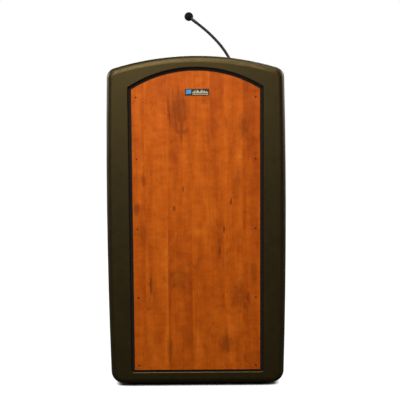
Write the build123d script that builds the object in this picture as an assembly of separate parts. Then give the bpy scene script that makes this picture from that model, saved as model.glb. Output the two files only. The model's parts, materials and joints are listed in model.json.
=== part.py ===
from build123d import *

from math import cos, radians, sin, sqrt, tan
import os

near = 0.01                 # places closer than this count as the same

# Full-height lectern podium, in millimetres.
# X runs across the lectern, its front (the audience side) faces -Y, and +Z is up.
# The origin is on the floor, under the middle of the lectern's box.

# ---- cabinet -----------------------------------------------------------------
width = 643.0               # across the bowed sides of the front frame
side_bow = 8.0              # how much further the middle of a side stands out than its ends
height = 1195.4             # floor to the top of the crest
depth = 520.0
sole_height = 8.0           # floor to the underside of the cabinet
crest_rise = 49.4           # rise of the crest's arc above its ends
crest_corner = 36.0
foot_corner = 46.0
frame_depth = 48.0          # thickness of the front frame, front to back
frame_front_round = 22.0
frame_back_round = 10.0
body_step = 7.5             # the cabinet's side stands this far inside the frame's ends
body_foot_corner = 44.0
side_round = 22.0           # outer rounding of the cabinet's top and rear edges
side_wall = 28.0            # a double wall, with a hollow between its two skins
skin = 5.0
hollow_margin = 18.0        # from the hollow to the cabinet's curved rear edge
crest_to_rim = 53.4         # from the top of the crest down to the desk's rim
desk_angle = 12.0           # slope of the desk, degrees
rear_apron = 87.0           # straight height of the rear edge under the desk
waist_inset = 62.0          # how far the rear edge curves in between desk and foot
foot_inset = 22.0
foot_height = 52.0
rear_corner = 30.0

# ---- front panel -------------------------------------------------------------
stile_width = 82.5          # frame side member, from the opening to the widest point
panel_gap = 11.0            # dark gap between the panel and its opening, sides and arch
panel_foot_gap = 7.0
panel_top_margin = 51.9     # from the top of the crest down to the panel
panel_foot_margin = 52.5    # from the cabinet's underside up to the panel
panel_rise = 65.0           # rise of the panel's arch
panel_thickness = 8.0
panel_setback = 6.0         # panel face behind the frame's face
opening_round = 4.0
opening_corner = 9.0
panel_corner = 3.0
seal_thickness = 4.0        # rubber strip round the panel, at the bottom of the gap
seal_clearance = 0.3
front_wall = 10.0           # cabinet wall behind the panel

panel_screw_inset = 16.0
panel_screw_foot = 17.1
panel_screw_top = 28.1      # from the spring of the arch down to the top screws
top_gap_share = 0.8715      # the top gap between screws, as a share of the others
panel_screw_radius = 1.9
panel_screw_head_radius = 3.0
panel_screw_head_height = 1.9
panel_screw_length = 13.0
insert_radius = 3.2
insert_length = 8.0
hole_clearance = 0.2        # radial clearance of a screw in the piece that it clamps
thread_clearance = 0.05     # radial clearance of a screw in the piece that it bites

badge_width = 86.0
badge_height = 23.0
badge_corner = 2.0
badge_offset = 5.0
badge_drop = 75.2           # from the top of the panel down to the badge's middle
badge_thickness = 1.6
adhesive_thickness = 0.6
adhesive_margin = 2.0

# ---- desk --------------------------------------------------------------------
desk_lip = 13.7             # rim above the desk board, square to the slope
desk_thickness = 18.0
desk_floor = 7.0            # cabinet wall under the desk board
desk_rim = 34.0             # rim at the sides
desk_front_rim = 20.0
desk_rear_rim = 22.0
desk_corner = 20.0
desk_clearance = 0.5
rim_edge_round = 3.0
edge_band = 1.5
desk_screw_radius = 2.2
desk_screw_inset = 60.0
desk_screw_bite = 12.0
desk_screw_head_radius = 4.5
desk_screw_head_height = 3.0

# ---- bay, shelf and base -----------------------------------------------------
floor_thickness = 6.0
bay_corner = 18.0
bay_edge_round = 3.0
apron_wall = 14.0
shelf_drop = 385.0          # from the desk's rim at the front down to the shelf's top
shelf_thickness = 16.0
shelf_side_clearance = 2.0
shelf_front_gap = 16.0
shelf_depth = 396.0
cleat_leg = 26.0
cleat_thickness = 2.0
cleat_length = 340.0
cleat_screw_radius = 2.0
cleat_screw_length = 9.0
shelf_screw_length = 13.0
cleat_screw_head_radius = 4.0
cleat_screw_head_height = 2.4
screw_row_share = 0.4       # outer screw rows from the cleat's middle, as a share of its length
skirt_wall = 8.0
skirt_front_wall = 28.0
skirt_rear_wall = 16.0
toe_notch_side = 28.0       # from the end of the skirt's mouth to the notch
toe_notch_height = 48.0
toe_notch_corner = 18.0
caster_board_thickness = 15.0
caster_board_clearance = 6.0
board_screw_radius = 2.9
board_screw_head_radius = 6.5
board_screw_head_height = 4.0
board_screw_inset = 24.0

# ---- casters -----------------------------------------------------------------
caster_x = 200.0
caster_front = 90.0         # from the front face back to the front swivel axes
caster_rear = 105.0         # from the rear face forward to the rear swivel axes
wheel_radius = 25.0
wheel_width = 18.0
wheel_clearance = 2.5       # tread to the underside of the fork's dish
tyre_thickness = 5.0
tread_round = 2.5
web_width = 6.0             # thickness of the wheel between hub and rim
hub_wall = 3.5              # also the wall of the rim
trail = 22.0
axle_radius = 4.0
running_clearance = 0.05
plate_x = 60.0
plate_y = 50.0
plate_thickness = 2.5
plate_corner = 6.0
plate_bolt_x = 46.0
plate_bolt_y = 36.0
bolt_radius = 3.0
bolt_head_radius = 5.0
bolt_head_height = 4.0
nut_wall = 1.6
nut_flange_radius = 9.0
nut_flange_thickness = 1.6
nut_cap = 1.2               # closed end above the bolt's hole
nut_setback = 4.0           # its sleeve ends this far above the board's underside
bolt_end_gap = 2.0          # from the bolt's end up to the board's top
kingpin_radius = 4.0
race_radius = 19.0
race_wall = 4.0
swivel_gap = 0.3            # between the fork's dish and what it turns against
rivet_head = 1.5
rivet_head_reach = 1.8
dish_radius = 21.0
dish_top = 6.0              # from the plate's top down to the fork's dish
dish_thickness = 3.5
fork_gap = 1.5              # wheel to fork ear
fork_ear = 2.5
ear_round = 9.0
pedal_pivot_stand = 6.0     # from the tread out to the pedal's pivot
pedal_pivot_angle = 50.0    # of the line from the axle to that pivot, above the horizontal, degrees
pedal_hub = 3.5
pedal_pin = 2.5
pedal_travel = 12.0
brake_gap = 0.3
pedal_reach = 12.0
pedal_thickness = 3.0
pedal_slope = 38.0          # how far the pedal's pad falls towards the rear, degrees
shoe_radius = 1.8
axle_head = 2.0
axle_head_reach = 1.6
boss_wall = 1.2

# ---- microphone --------------------------------------------------------------
mic_x = 133.1
mic_down_slope = 58.0       # from the front of the rim, along the slope
flange_radius = 24.0
flange_thickness = 4.0
flange_clearance = 0.2
collar_radius = 11.5
collar_height = 11.0
isolator_radius = 9.0
stem_radius = 5.6
stem_length = 30.0          # above the desk board
stem_below = 29.0           # below the desk board's face
stem_step = 9.0             # from the stem's top down to where it narrows to the neck
flange_screw_radius = 1.6
flange_screw_circle = 17.5
flange_screw_bite = 9.0
flange_screw_head_radius = 2.8
flange_screw_head_height = 1.4
bush_stand = 2.0            # rubber bush above the flange's collar
edge_break = 1.0            # chamfer of the collar and of the capsule's end
neck_radius = 5.3
neck_rise = 37.7            # reach of the neck's first control point along the stem
neck_middle = (-50.8, 106.1, 175.1)   # the curve's third control point and its end, measured
neck_end = (-282.8, 195.3, 294.8)     # from the stem's foot across, to the rear and up
joint_count = 6
first_joint = 6.0           # from the stem's top to the first joint, along the neck
joint_pitch = 40.2
knuckle_radius = 7.4
knuckle_gap = 0.3
capsule_radius = 6.0
capsule_length = 46.0
windscreen_radius = 16.5
windscreen_overlap = 23.0   # capsule inside the windscreen

# ---- microphone lead and output box -------------------------------------------
lead_radius = 2.5
lead_stand = 9.0            # lead's axis off the front wall of the bay
box_width = 78.0
box_height = 86.0
box_depth = 38.0
box_wall = 3.0
box_bottom = 50.0           # above the bay's floor
plate_gauge = 2.0
socket_radius = 10.5
socket_depth = 24.0
socket_wall = 2.0
socket_floor = 6.0
socket_flange = (26.0, 31.0)
socket_flange_gauge = 1.8
pin_radius = 1.2
pin_circle = 3.9
pin_setback = 4.0           # pin tips behind the plate's face
clip_height = 9.0
clip_wall = 2.0
clip_foot_thickness = 2.4
clip_screw_stand = 6.5      # from the lead's side to the clip's screw
clip_count = 6
clip_margin = 30.0          # from the box up to the lowest clip
clip_top_drop = 195.0       # from the stem's foot down to the highest clip
small_screw_radius = 1.5
small_screw_head_radius = 2.9
small_screw_head_height = 1.8
wall_screw_length = 9.0
plate_screw_length = 12.0
pilot_depth = 7.0           # small screws' holes in the front wall
plate_corner_round = 4.0
wall_screw_inset = 12.0
plate_screw_inset = 6.0
post_radius = 4.0

# ---- what follows from those sizes --------------------------------------------
front = -depth / 2
rear = depth / 2
frame_back = front + frame_depth
half_width = width / 2
half_end = half_width - side_bow
half_body = half_end - body_step
half_bay = half_body - side_wall
slope = radians(desk_angle)
rim_front = height - crest_to_rim
desk_plane = Plane(origin=(0, frame_back, rim_front), x_dir=(1, 0, 0), z_dir=(0, sin(slope), cos(slope)))
desk_end = (rear - frame_back) / cos(slope) - desk_rear_rim
half_desk = half_body - desk_rim
board_top = -desk_lip
board_bottom = board_top - desk_thickness
ceiling = board_bottom - desk_floor
plate_top = 2 * wheel_radius + wheel_clearance + dish_thickness + dish_top
floor_bottom = plate_top + caster_board_thickness
floor_top = floor_bottom + floor_thickness
rim_rear = rim_front - (rear - frame_back) * tan(slope)
apron_bottom = rim_rear - rear_apron
rear_foot = rear - foot_inset

half_panel = half_width - stile_width - panel_gap
panel_top = height - panel_top_margin
panel_bottom = sole_height + panel_foot_margin
panel_spring = panel_top - panel_rise
panel_front = front + panel_setback
recess_floor = panel_front + panel_thickness
bay_front = recess_floor + front_wall

shelf_top = rim_front - shelf_drop
shelf_bottom = shelf_top - shelf_thickness
shelf_front = bay_front + shelf_front_gap
shelf_rear = shelf_front + shelf_depth
half_shelf = half_bay - shelf_side_clearance

skirt_front = front + skirt_front_wall
skirt_rear = rear_foot - skirt_rear_wall
skirt_mouth = half_body - body_foot_corner - skirt_wall
half_notch = skirt_mouth - toe_notch_side
pedal_pivot_radius = wheel_radius + pedal_pivot_stand
swivels = {
    "fl": (-caster_x, front + caster_front),
    "fr": (caster_x, front + caster_front),
    "rl": (-caster_x, rear - caster_rear),
    "rr": (caster_x, rear - caster_rear),
}
braked = ("rl", "rr")


# ---- small helpers -------------------------------------------------------------
def from_front(face, y_low, y_high):
    """A face drawn as seen from the front, made solid from y_low to y_high."""
    return extrude(Plane.XZ.offset(-y_high) * face, y_high - y_low)


def from_side(face, x_low, x_high):
    """A face drawn in Y and Z, made solid from x_low to x_high."""
    return extrude(Plane.YZ.offset(x_low) * face, x_high - x_low)


def block(x_low, x_high, y_low, y_high, z_low, z_high):
    """A box between two corners."""
    size = Box(x_high - x_low, y_high - y_low, z_high - z_low)
    return Pos((x_low + x_high) / 2, (y_low + y_high) / 2, (z_low + z_high) / 2) * size


def rod(start, end, radius):
    """A round bar from one point to another."""
    start, end = Vector(*start), Vector(*end)
    plane = Plane(origin=start, z_dir=end - start)
    return extrude(plane * Circle(radius), (end - start).length)


def rim_height(y):
    """Height of the plane of the desk's rim at a place between front and rear."""
    return rim_front - (y - frame_back) * tan(slope)


def on_desk(x, along, above):
    """A point given across, down the slope and square off the rim's plane."""
    return desk_plane.from_local_coords(Vector(x, along, above))


def grouped(name, pieces):
    """Several separate solids kept as one named piece."""
    solids = [solid for piece in pieces for solid in piece.solids()]
    group = Compound(children=solids) if len(solids) > 1 else solids[0]
    group.label = name
    return group


def arch_centre(half, spring, rise):
    """Height of the centre, and radius, of the arc that rises that much over a half width."""
    radius = (half**2 + rise**2) / (2 * rise)
    return spring + rise - radius, radius


# ---- cabinet ---------------------------------------------------------------------
def frame_outline():
    """The bowed front outline with its arched crest."""
    shoulder = height - crest_rise
    middle = (sole_height + shoulder) / 2
    right = ThreePointArc((half_end, sole_height), (half_width, middle), (half_end, shoulder))
    crest = ThreePointArc((half_end, shoulder), (0, height), (-half_end, shoulder))
    left = ThreePointArc((-half_end, shoulder), (-half_width, middle), (-half_end, sole_height))
    sole = Line((-half_end, sole_height), (half_end, sole_height))
    face = make_face([right, crest, left, sole])
    face = fillet(face.vertices().sort_by(Axis.Y)[:2], foot_corner)
    upper = [v for v in face.vertices() if abs(v.Y - shoulder) < near]
    return fillet(upper, crest_corner)


def arched_face(half, bottom, centre, radius, corner):
    """A door-shaped face: straight sides, an arc above and rounded lower corners."""
    spring = centre + sqrt(radius**2 - half**2)
    sill = Line((-half, bottom), (half, bottom))
    right = Line((half, bottom), (half, spring))
    arch = ThreePointArc((half, spring), (0, centre + radius), (-half, spring))
    left = Line((-half, spring), (-half, bottom))
    face = make_face([sill, right, arch, left])
    return fillet(face.vertices().sort_by(Axis.Y)[:2], corner)


def frame_slab():
    """The front frame as a rounded slab, with the recess that takes the panel."""
    slab = from_front(frame_outline(), front, frame_back)
    slab = fillet(slab.faces().sort_by(Axis.Y)[0].edges(), frame_front_round)
    slab = fillet(slab.faces().sort_by(Axis.Y)[-1].edges(), frame_back_round)
    centre, radius = arch_centre(half_panel, panel_spring, panel_rise)
    opening = arched_face(half_panel + panel_gap, panel_bottom - panel_foot_gap, centre,
                          radius + panel_gap, opening_corner)
    slab -= from_front(opening, front - 1, recess_floor)
    limit = half_panel + panel_gap + 1
    rim = [e for e in slab.edges()
           if abs(e.bounding_box().min.Y - front) < near and abs(e.bounding_box().max.Y - front) < near
           and e.bounding_box().max.X < limit and e.bounding_box().min.X > -limit
           and e.bounding_box().max.Z < panel_top + panel_gap + 1
           and e.bounding_box().min.Z > panel_bottom - panel_foot_gap - 1]
    return fillet(rim, opening_round)


def cabinet_body():
    """The cabinet behind the frame: sloping top, curved rear edge and rounded foot."""
    join = frame_back - 2
    waist = (foot_height + apron_bottom) / 2
    top = Line((join, rim_height(join)), (rear, rim_rear))
    apron = Line((rear, rim_rear), (rear, apron_bottom))
    curve = ThreePointArc((rear, apron_bottom), (rear - waist_inset, waist), (rear_foot, foot_height))
    foot = Line((rear_foot, foot_height), (rear_foot, sole_height))
    sole = Line((rear_foot, sole_height), (join, sole_height))
    back = Line((join, sole_height), (join, rim_height(join)))
    face = make_face([top, apron, curve, foot, sole, back])
    corner = [v for v in face.vertices() if abs(v.X - rear) < near and v.Y > apron_bottom + 1]
    face = fillet(corner, rear_corner)
    bends = [v for v in face.vertices() if abs(v.Y - apron_bottom) < near or abs(v.Y - foot_height) < near]
    face = fillet(bends, rear_corner * 2)
    body = from_side(face, -half_body, half_body)
    edges = [e for e in body.edges()
             if abs(abs(e.center().X) - half_body) < near
             and e.bounding_box().max.Y > join + 1 and e.bounding_box().max.Z > sole_height + 1]
    body = fillet(edges, side_round)
    tall = Rectangle(2 * half_body, height, align=(Align.CENTER, Align.MIN))
    tall = Pos(0, sole_height) * tall
    tall = fillet(tall.vertices().sort_by(Axis.Y)[:2], body_foot_corner)
    return body & from_front(tall, join - 1, rear + 1)


def bay_space():
    """The space inside the cabinet that opens to the rear."""
    inside_rear = rear - apron_wall
    drop = ceiling / cos(slope)
    face = make_face(Polyline(
        (bay_front, floor_top), (bay_front, rim_height(bay_front) + drop),
        (inside_rear, rim_height(inside_rear) + drop), (inside_rear, apron_bottom),
        (rear + 40, apron_bottom), (rear + 40, floor_top), close=True))
    bay = from_side(face, -half_bay, half_bay)
    upright_edges = [e for e in bay.edges()
                     if abs(e.center().Y - bay_front) < near and abs(abs(e.center().X) - half_bay) < near]
    return fillet(upright_edges, bay_corner)


def desk_pocket():
    """The pocket in the sloping top that takes the desk board."""
    middle = (desk_front_rim + desk_end) / 2
    face = RectangleRounded(2 * half_desk, desk_end - desk_front_rim, desk_corner)
    return extrude(desk_plane.offset(board_bottom) * Pos(0, middle) * face, desk_lip + desk_thickness + 60)


def skirt_space():
    """The hollow under the floor, narrowed at its mouth by the rounded foot."""
    upper = Rectangle(2 * (half_body - skirt_wall), floor_bottom - sole_height - skirt_wall,
                      align=(Align.CENTER, Align.MIN))
    upper = Pos(0, sole_height + skirt_wall) * upper
    upper = fillet(upper.vertices().sort_by(Axis.Y)[:2], body_foot_corner - skirt_wall)
    space = from_front(upper, skirt_front, skirt_rear)
    return space + block(-skirt_mouth, skirt_mouth, skirt_front, skirt_rear, sole_height - 1, floor_bottom)


def side_hollow():
    """The hollow between the two skins of the right-hand side wall."""
    front_y = front + 2 * skin
    low = floor_bottom - 2 * skirt_wall
    waist = (foot_height + apron_bottom) / 2
    end = rear - hollow_margin
    drop = -(desk_lip + skin) / cos(slope)
    top = Line((front_y, rim_height(front_y) + drop), (end, rim_height(end) + drop))
    apron = Line((end, rim_height(end) + drop), (end, apron_bottom))
    curve = ThreePointArc((end, apron_bottom), (end - waist_inset, waist), (rear_foot - hollow_margin, low))
    sole = Line((rear_foot - hollow_margin, low), (front_y, low))
    face = make_face([top, apron, curve, sole, Line((front_y, low), (front_y, rim_height(front_y) + drop))])
    return from_side(face, half_bay + skin, half_body - skin)


def toe_notch():
    """The gap in the rear skirt that gives a foot room at the brakes."""
    face = Rectangle(2 * half_notch, toe_notch_height + 20, align=(Align.CENTER, Align.MAX))
    face = Pos(0, sole_height + toe_notch_height) * face
    face = fillet(face.vertices().sort_by(Axis.Y)[-2:], toe_notch_corner)
    return from_front(face, skirt_rear - 1, rear_foot + 1)


def make_shell():
    """The one-piece moulded cabinet with every hole that its fittings need."""
    shell = frame_slab() + cabinet_body()
    shell -= desk_pocket()
    shell = fillet(shell.edges().filter_by(on_rim_edge), rim_edge_round)
    shell -= bay_space()
    shell -= skirt_space()
    hollow = side_hollow()
    shell -= hollow
    shell -= mirror(hollow, Plane.YZ)
    shell -= toe_notch()
    shell = fillet(shell.edges().filter_by(on_bay_mouth), bay_edge_round)
    for x, z in panel_screw_places():
        shell -= rod((x, recess_floor - 1, z), (x, recess_floor + insert_length, z), insert_radius)
    for spot in desk_screw_places():
        shell -= desk_bore(spot, ceiling - 1, board_bottom + 1, desk_screw_radius + hole_clearance)
    mic = (mic_x, mic_down_slope)
    shell -= desk_bore(mic, ceiling - 1, board_bottom + 1, isolator_radius)
    for x, y in board_screw_places():
        shell -= rod((x, y, floor_bottom - 1), (x, y, floor_top - 1), board_screw_radius + thread_clearance)
    for side, y, z in cleat_screw_places():
        inner = side * (half_bay - 1)
        outer = side * (half_bay + skin + 1)
        shell -= rod((inner, y, z), (outer, y, z), cleat_screw_radius + thread_clearance)
    for x, z in [(clip_screw_x(), z) for z in clip_heights()] + box_screw_places():
        shell -= rod((x, bay_front - pilot_depth, z), (x, bay_front + 1, z),
                     small_screw_radius + thread_clearance)
    return shell


def on_rim_edge(edge):
    """Whether an edge is the upper edge of the desk's pocket."""
    local = [desk_plane.to_local_coords(edge @ share) for share in (0, 0.5, 1)]
    level = all(abs(p.Z) < near for p in local)
    within = all(abs(p.X) < half_desk + near for p in local)
    return level and within and all(desk_front_rim - near < p.Y < desk_end + near for p in local)


def on_bay_mouth(edge):
    """Whether an edge is the rear edge of a side wall's inner skin, or of the apron."""
    middle = edge @ 0.5
    ends = (edge @ 0, edge @ 1)
    along_side = all(abs(abs(p.X) - half_bay) < near for p in (*ends, middle))
    upright = abs(ends[0].Z - ends[1].Z) > bay_corner
    return along_side and upright and middle.Y > rear / 2


def desk_bore(spot, low, high, radius):
    """A round hole square to the desk."""
    return rod(on_desk(*spot, low), on_desk(*spot, high), radius)


# ---- front panel -------------------------------------------------------------------
def make_panel_seal():
    """Rubber strip that closes the bottom of the gap between the panel and its opening."""
    centre, radius = arch_centre(half_panel, panel_spring, panel_rise)
    near_panel, near_frame = seal_clearance, panel_gap - seal_clearance
    strip = arched_face(half_panel + near_frame, panel_bottom - panel_foot_gap + seal_clearance, centre,
                        radius + near_frame, opening_corner - seal_clearance)
    strip -= arched_face(half_panel + near_panel, panel_bottom - near_panel, centre, radius + near_panel,
                         panel_corner + near_panel)
    return from_front(strip, recess_floor - seal_thickness, recess_floor)


def panel_screw_places():
    """The ten panel screws: five rows, with the top gap the shorter one."""
    low = panel_bottom + panel_screw_foot
    top = panel_spring - panel_screw_top
    pitch = (top - low) / (3 + top_gap_share)
    rows = [low + pitch * row for row in range(4)] + [top]
    return [(side * (half_panel - panel_screw_inset), z) for z in rows for side in (-1, 1)]


def make_front_panel():
    centre, radius = arch_centre(half_panel, panel_spring, panel_rise)
    face = arched_face(half_panel, panel_bottom, centre, radius, panel_corner)
    panel = from_front(face, panel_front, recess_floor)
    for x, z in panel_screw_places():
        panel -= rod((x, panel_front - 1, z), (x, recess_floor + 1, z), panel_screw_radius + hole_clearance)
    return panel


def pan_screw(point, direction, radius, length, head_radius, head_height):
    """A screw whose domed head sits on a surface at a point; its shank runs along a direction."""
    plane = Plane(origin=point, z_dir=direction)
    shank = extrude(plane * Circle(radius), length)
    dome = Line((0, 0), (head_radius, 0)) + Line((head_radius, 0), (head_radius, -head_height * 0.35))
    dome += ThreePointArc((head_radius, -head_height * 0.35), (head_radius * 0.62, -head_height * 0.85),
                          (0, -head_height))
    dome += Line((0, -head_height), (0, 0))
    head = revolve(Plane.XZ * make_face(dome), Axis.Z)
    socket = Pos(0, 0, -head_height) * Box(head_radius * 1.1, head_radius * 0.28, head_height * 0.7)
    slot = socket + Pos(0, 0, -head_height) * Box(head_radius * 0.28, head_radius * 1.1, head_height * 0.7)
    return plane.location * (head - slot) + shank


def make_panel_screws():
    return [pan_screw((x, panel_front, z), (0, 1, 0), panel_screw_radius, panel_screw_length,
                      panel_screw_head_radius, panel_screw_head_height) for x, z in panel_screw_places()]


def make_panel_inserts():
    inserts = []
    for x, z in panel_screw_places():
        sleeve = rod((x, recess_floor, z), (x, recess_floor + insert_length, z), insert_radius)
        bore = rod((x, recess_floor - 1, z), (x, recess_floor + insert_length - 1, z),
                   panel_screw_radius + thread_clearance)
        inserts.append(sleeve - bore)
    return inserts


def badge_face(margin):
    centre = (badge_offset, panel_top - badge_drop)
    face = RectangleRounded(badge_width - 2 * margin, badge_height - 2 * margin, badge_corner)
    return Pos(*centre) * face


def make_badge_plate():
    back = panel_front - adhesive_thickness
    plate = from_front(badge_face(0), back - badge_thickness, back)
    return chamfer(plate.faces().sort_by(Axis.Y)[0].edges(), 0.4)


def make_badge_adhesive():
    return from_front(badge_face(adhesive_margin), panel_front - adhesive_thickness, panel_front)


# ---- desk ----------------------------------------------------------------------------
def desk_screw_places():
    """Screws up through the pocket's floor, across and down the slope."""
    reach = half_desk - desk_screw_inset
    rows = (desk_front_rim + desk_screw_inset, desk_end - desk_screw_inset)
    return [(x, along) for along in rows for x in (-reach, 0, reach)]


def board_face(inset):
    across, down = 2 * (half_desk - inset), desk_end - desk_front_rim - 2 * inset
    return Pos(0, (desk_front_rim + desk_end) / 2) * RectangleRounded(across, down, desk_corner - inset)


def make_desk_board():
    plane = desk_plane.offset(board_bottom)
    board = extrude(plane * board_face(desk_clearance + edge_band), desk_thickness)
    for spot in desk_screw_places():
        board -= desk_bore(spot, board_bottom - 1, board_bottom + desk_screw_bite + 1,
                           desk_screw_radius + thread_clearance)
    for spot in flange_screw_places():
        board -= desk_bore(spot, board_top - flange_thickness - flange_screw_bite - 1, board_top + 1,
                           flange_screw_radius + thread_clearance)
    mic = (mic_x, mic_down_slope)
    board -= desk_bore(mic, board_top - flange_thickness, board_top + 1, flange_radius + flange_clearance)
    return board - desk_bore(mic, board_bottom - 1, board_top + 1, isolator_radius)


def make_desk_edge_band():
    plane = desk_plane.offset(board_bottom)
    ring = board_face(desk_clearance) - board_face(desk_clearance + edge_band)
    return extrude(plane * ring, desk_thickness)


def make_desk_screws():
    up = desk_plane.z_dir
    return [pan_screw(on_desk(*spot, ceiling), up, desk_screw_radius, desk_floor + desk_screw_bite,
                      desk_screw_head_radius, desk_screw_head_height) for spot in desk_screw_places()]


# ---- shelf -----------------------------------------------------------------------------
def cleat_rows():
    middle = (shelf_front + shelf_rear) / 2
    return [middle + share * cleat_length for share in (-screw_row_share, 0, screw_row_share)]


def cleat_screw_places():
    """Side, distance along the cleat and height of each screw into a side wall."""
    z = shelf_bottom - cleat_leg * 0.6
    return [(side, y, z) for side in (-1, 1) for y in cleat_rows()]


def shelf_screw_places():
    x = half_bay - cleat_leg * 0.6
    return [(side * x, y + cleat_leg) for side in (-1, 1) for y in cleat_rows()]


def make_shelf_board():
    board = block(-half_shelf, half_shelf, shelf_front + edge_band, shelf_rear - edge_band,
                  shelf_bottom, shelf_top)
    for x, y in shelf_screw_places():
        hole_top = shelf_bottom + shelf_screw_length - cleat_thickness + 1
        board -= rod((x, y, shelf_bottom - 1), (x, y, hole_top), cleat_screw_radius + thread_clearance)
    return board


def make_shelf_edge_band():
    near = block(-half_shelf, half_shelf, shelf_rear - edge_band, shelf_rear, shelf_bottom, shelf_top)
    far = block(-half_shelf, half_shelf, shelf_front, shelf_front + edge_band, shelf_bottom, shelf_top)
    return [near, far]


def make_shelf_cleats():
    cleats = []
    middle = (shelf_front + shelf_rear) / 2
    low, high = middle - cleat_length / 2, middle + cleat_length / 2
    for side in (-1, 1):
        wall = side * half_bay
        corner = [(wall, shelf_bottom), (wall - side * cleat_leg, shelf_bottom),
                  (wall - side * cleat_leg, shelf_bottom - cleat_thickness),
                  (wall - side * cleat_thickness, shelf_bottom - cleat_thickness),
                  (wall - side * cleat_thickness, shelf_bottom - cleat_leg),
                  (wall, shelf_bottom - cleat_leg)]
        cleat = from_front(make_face(Polyline(*corner, close=True)), low, high)
        radius = cleat_screw_radius + hole_clearance
        for s, y, z in cleat_screw_places():
            if s == side:
                cleat -= rod((wall - side * (cleat_thickness + 1), y, z), (wall + side, y, z), radius)
        for x, y in shelf_screw_places():
            if x * side > 0:
                cleat -= rod((x, y, shelf_bottom - cleat_thickness - 1), (x, y, shelf_bottom + 1), radius)
        cleats.append(cleat)
    return cleats


def make_cleat_screws():
    return [pan_screw((side * (half_bay - cleat_thickness), y, z), (side, 0, 0), cleat_screw_radius,
                      cleat_screw_length, cleat_screw_head_radius, cleat_screw_head_height)
            for side, y, z in cleat_screw_places()]


def make_shelf_screws():
    return [pan_screw((x, y, shelf_bottom - cleat_thickness), (0, 0, 1), cleat_screw_radius,
                      shelf_screw_length, cleat_screw_head_radius, cleat_screw_head_height)
            for x, y in shelf_screw_places()]


# ---- base ------------------------------------------------------------------------------
def caster_bolt_places():
    spots = []
    for x, y in swivels.values():
        spots += [(x + sx * plate_bolt_x / 2, y + sy * plate_bolt_y / 2) for sx in (-1, 1) for sy in (-1, 1)]
    return spots


def board_screw_places():
    reach = skirt_mouth - caster_board_clearance - board_screw_inset
    rows = (skirt_front + board_screw_inset, (skirt_front + skirt_rear) / 2, skirt_rear - board_screw_inset)
    return [(x, y) for y in rows for x in (-reach / 2, reach / 2)]


def make_caster_board():
    gap = caster_board_clearance
    board = block(-skirt_mouth + gap, skirt_mouth - gap, skirt_front + gap, skirt_rear - gap,
                  plate_top, floor_bottom)
    for x, y in board_screw_places():
        board -= rod((x, y, plate_top - 1), (x, y, floor_bottom + 1), board_screw_radius + hole_clearance)
    for x, y in caster_bolt_places():
        board -= rod((x, y, plate_top - 1), (x, y, floor_bottom + 1), bolt_radius + nut_wall)
        board -= rod((x, y, floor_bottom - nut_flange_thickness), (x, y, floor_bottom + 1),
                     nut_flange_radius)
    return board


def make_board_screws():
    length = caster_board_thickness + floor_thickness - 2
    return [pan_screw((x, y, plate_top), (0, 0, 1), board_screw_radius, length, board_screw_head_radius,
                      board_screw_head_height) for x, y in board_screw_places()]


def make_caster_bolts():
    bolts = []
    for x, y in caster_bolt_places():
        low = plate_top - plate_thickness
        hexagon = RegularPolygon(bolt_head_radius, 6)
        head = extrude(Pos(x, y, low - bolt_head_height) * hexagon, bolt_head_height)
        bolts.append(head + rod((x, y, low - 1), (x, y, floor_bottom - bolt_end_gap), bolt_radius))
    return bolts


def make_caster_nuts():
    nuts = []
    for x, y in caster_bolt_places():
        nut = rod((x, y, floor_bottom - nut_flange_thickness), (x, y, floor_bottom), nut_flange_radius)
        nut += rod((x, y, plate_top + nut_setback), (x, y, floor_bottom - 1), bolt_radius + nut_wall)
        bore = rod((x, y, plate_top), (x, y, floor_bottom - nut_cap), bolt_radius + thread_clearance)
        nuts.append(nut - bore)
    return nuts


def make_caster_plate(x, y):
    """Top plate with its bearing race and the riveted kingpin that the fork turns on."""
    low = plate_top - plate_thickness
    face = RectangleRounded(plate_x, plate_y, plate_corner)
    plate = extrude(Pos(x, y, low) * face, plate_thickness)
    for sx in (-1, 1):
        for sy in (-1, 1):
            px, py = x + sx * plate_bolt_x / 2, y + sy * plate_bolt_y / 2
            plate -= rod((px, py, low - 1), (px, py, plate_top + 1), bolt_radius + hole_clearance)
    race_low = plate_top - dish_top + swivel_gap
    plate += rod((x, y, race_low), (x, y, low), race_radius)
    plate -= rod((x, y, race_low - 1), (x, y, low), race_radius - race_wall)
    pin_low = plate_top - dish_top - dish_thickness - swivel_gap
    plate += rod((x, y, pin_low), (x, y, low), kingpin_radius)
    return plate + rod((x, y, pin_low - rivet_head), (x, y, pin_low), kingpin_radius + rivet_head_reach)


def pedal_pivot():
    """The pedal's pivot, back from and above the swivel axis's foot on the floor."""
    angle = radians(pedal_pivot_angle)
    return trail + pedal_pivot_radius * cos(angle), wheel_radius + pedal_pivot_radius * sin(angle)


def fork_ear_face(with_pivot):
    """One ear of the fork, back from the swivel axis and up from the floor."""
    top = plate_top - dish_top - 1
    hub = Pos(trail, wheel_radius) * Circle(ear_round)
    web = make_face(Polyline((-dish_radius * 0.55, top), (trail - ear_round * 0.92, wheel_radius - 3),
                             (trail + ear_round * 0.96, wheel_radius + 2), (trail + 9, top), close=True))
    face = hub + web
    if with_pivot:
        y, z = pedal_pivot()
        arm = make_face(Polyline((trail - 2, top), (trail + 6, wheel_radius + 4),
                                 (y + 2, z - pedal_hub - 1), (y + 1, z + pedal_hub), close=True))
        face += arm + Pos(y, z) * Circle(pedal_hub + boss_wall)
        face -= Pos(y, z) * Circle(pedal_pin)
    return face - Pos(trail, wheel_radius) * Circle(axle_radius + running_clearance)


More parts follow.
